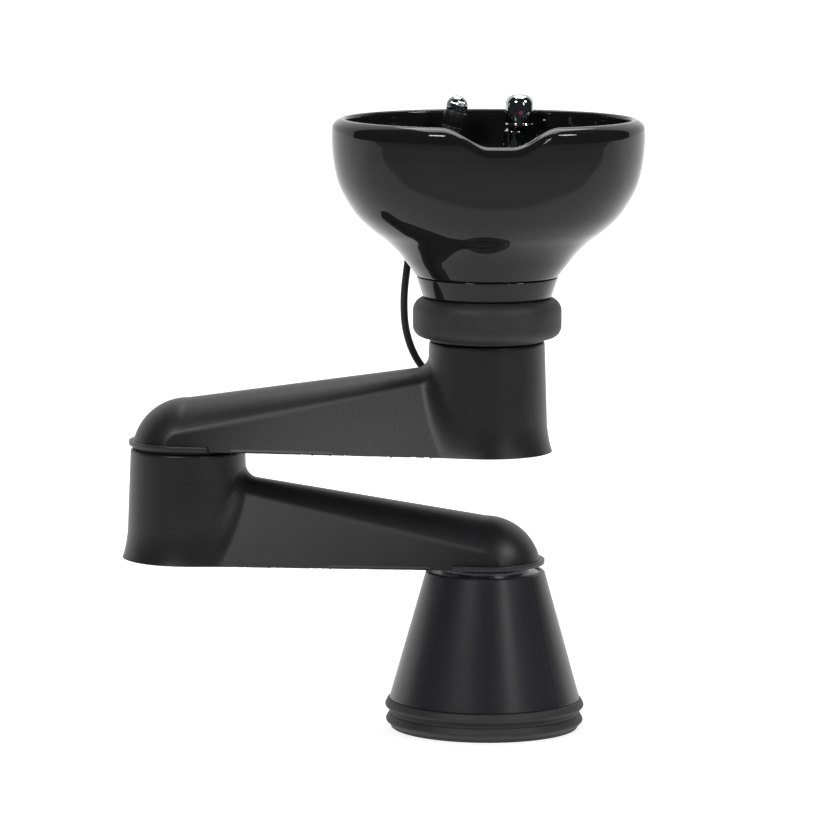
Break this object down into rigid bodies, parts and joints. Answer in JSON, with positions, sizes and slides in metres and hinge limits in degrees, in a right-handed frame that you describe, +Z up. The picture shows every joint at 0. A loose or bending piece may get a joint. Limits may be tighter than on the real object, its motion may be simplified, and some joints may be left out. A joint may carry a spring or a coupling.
{
  "type": "shampoo backwash unit",
  "caption": "Salon backwash unit: glossy black bowl with neck notch and mixer on a double swing arm above a telescopic conical foot.",
  "frame": {"origin": "on the floor at the centre of the circle of anchor holes", "axes": "+Z up along the lift column, -Y the way the neck notch faces"},
  "size_m": [0.8327, 0.4383, 1.016],
  "materials": {
    "satin_steel": "black powder coat",
    "zinc_steel": "zinc plated",
    "moulded_charcoal": "grained moulded polyurethane",
    "satin_black_cover": "satin black",
    "black_rubber": "matt",
    "black_glaze": "high gloss black glaze",
    "chrome": "polished",
    "brass": "machined",
    "white_plastic": "moulded",
    "black_plastic": "moulded",
    "grey_hose": "smooth",
    "index_mark": "two-colour inlay"
  },
  "bodies": {
    "base": {"floor_plate": "satin_steel", "fixed_column": "satin_steel", "column_guide_bushes": "white_plastic", "lift_cylinder": "satin_steel", "waste_socket": "white_plastic", "water_inlets": "brass", "base_supply_hoses": "grey_hose", "base_bellows": "black_rubber"},
    "lift": {"lift_tube": "zinc_steel", "lift_rod": "chrome", "base_cover_front": "satin_black_cover", "base_cover_rear": "satin_black_cover", "base_cover_hoop": "satin_steel", "base_cover_screws": "zinc_steel", "waste_drop_pipe": "white_plastic", "base_spindle": "zinc_steel", "base_spindle_nut": "zinc_steel"},
    "lower_arm": {"lower_arm_cover": "moulded_charcoal", "lower_arm_bottom_cover": "black_plastic", "lower_arm_trim": "black_rubber", "lower_arm_frame": "satin_steel", "lower_arm_screws": "zinc_steel", "lower_arm_bushes": "white_plastic", "lower_arm_seal": "black_rubber", "lower_arm_hoses": "grey_hose", "elbow_spindle": "zinc_steel", "elbow_spindle_nut": "zinc_steel"},
    "upper_arm": {"upper_arm_cover": "moulded_charcoal", "upper_arm_bottom_cover": "black_plastic", "upper_arm_trim": "black_rubber", "upper_arm_frame": "satin_steel", "upper_arm_screws": "zinc_steel", "upper_arm_bushes": "white_plastic", "upper_arm_seal": "black_rubber", "upper_arm_hoses": "grey_hose", "bowl_spindle": "zinc_steel", "bowl_spindle_nut": "zinc_steel"},
    "bowl_turntable": {"turntable": "satin_steel", "turntable_bushes": "white_plastic", "tilt_pins": "zinc_steel"},
    "bowl_head": {"bowl_support": "satin_steel", "bowl_bolts": "zinc_steel", "bowl_skirt": "black_glaze", "bowl": "black_glaze", "rubber_collar": "black_rubber", "waste_fitting": "chrome", "bowl_drain_hose": "grey_hose", "mixer_body": "chrome", "mixer_tails": "grey_hose", "handset_holder": "chrome", "hose_glands": "black_plastic", "shower_hose": "black_rubber"},
    "mixer_cartridge": {"mixer_stem": "brass"},
    "mixer_lever": {"mixer_handle": "chrome", "mixer_pin": "zinc_steel", "mixer_mark": "index_mark"},
    "hand_shower": {"handset": "chrome", "handset_face": "black_plastic"},
    "strainer": {"hair_strainer": "chrome"}
  },
  "joints": [
    {"name": "base_lift", "type": "slide", "parent": "base", "child": "lift", "axis": [0, 0, 1], "range_m": [0, 0.06], "deforming": ["base_bellows", "base_supply_hoses"]},
    {"name": "base_swivel", "type": "hinge", "parent": "lift", "child": "lower_arm", "pos_m": [0, 0, 0.268], "axis": [0, 0, 1], "range_deg": [-170, 170]},
    {"name": "elbow_swivel", "type": "hinge", "parent": "lower_arm", "child": "upper_arm", "pos_m": [-0.47755, 0.09023, 0.452], "axis": [0, 0, 1], "range_deg": [-170, 170]},
    {"name": "bowl_swivel", "type": "hinge", "parent": "upper_arm", "child": "bowl_turntable", "pos_m": [0, 0, 0.636], "axis": [0, 0, 1], "range_deg": [-150, 5]},
    {"name": "bowl_tilt", "type": "hinge", "parent": "bowl_turntable", "child": "bowl_head", "pos_m": [0, 0, 0.668], "axis": [1, 0, 0], "range_deg": [0, 12], "deforming": ["rubber_collar"]},
    {"name": "mixer_temperature", "type": "hinge", "parent": "bowl_head", "child": "mixer_cartridge", "pos_m": [0.057, 0.147, 0.982], "axis": [0, 0, 1], "range_deg": [-50, 50]},
    {"name": "mixer_flow", "type": "hinge", "parent": "mixer_cartridge", "child": "mixer_lever", "pos_m": [0.057, 0.147, 0.982], "axis": [1, 0, 0], "range_deg": [0, 10]},
    {"name": "handset_pull", "type": "slide", "parent": "bowl_head", "child": "hand_shower", "axis": [0.2419, 0, 0.9703], "range_m": [0, 0.12]},
    {"name": "strainer_lift", "type": "slide", "parent": "bowl_head", "child": "strainer", "axis": [0, 0, 1], "range_m": [0, 0.04]}
  ]
}
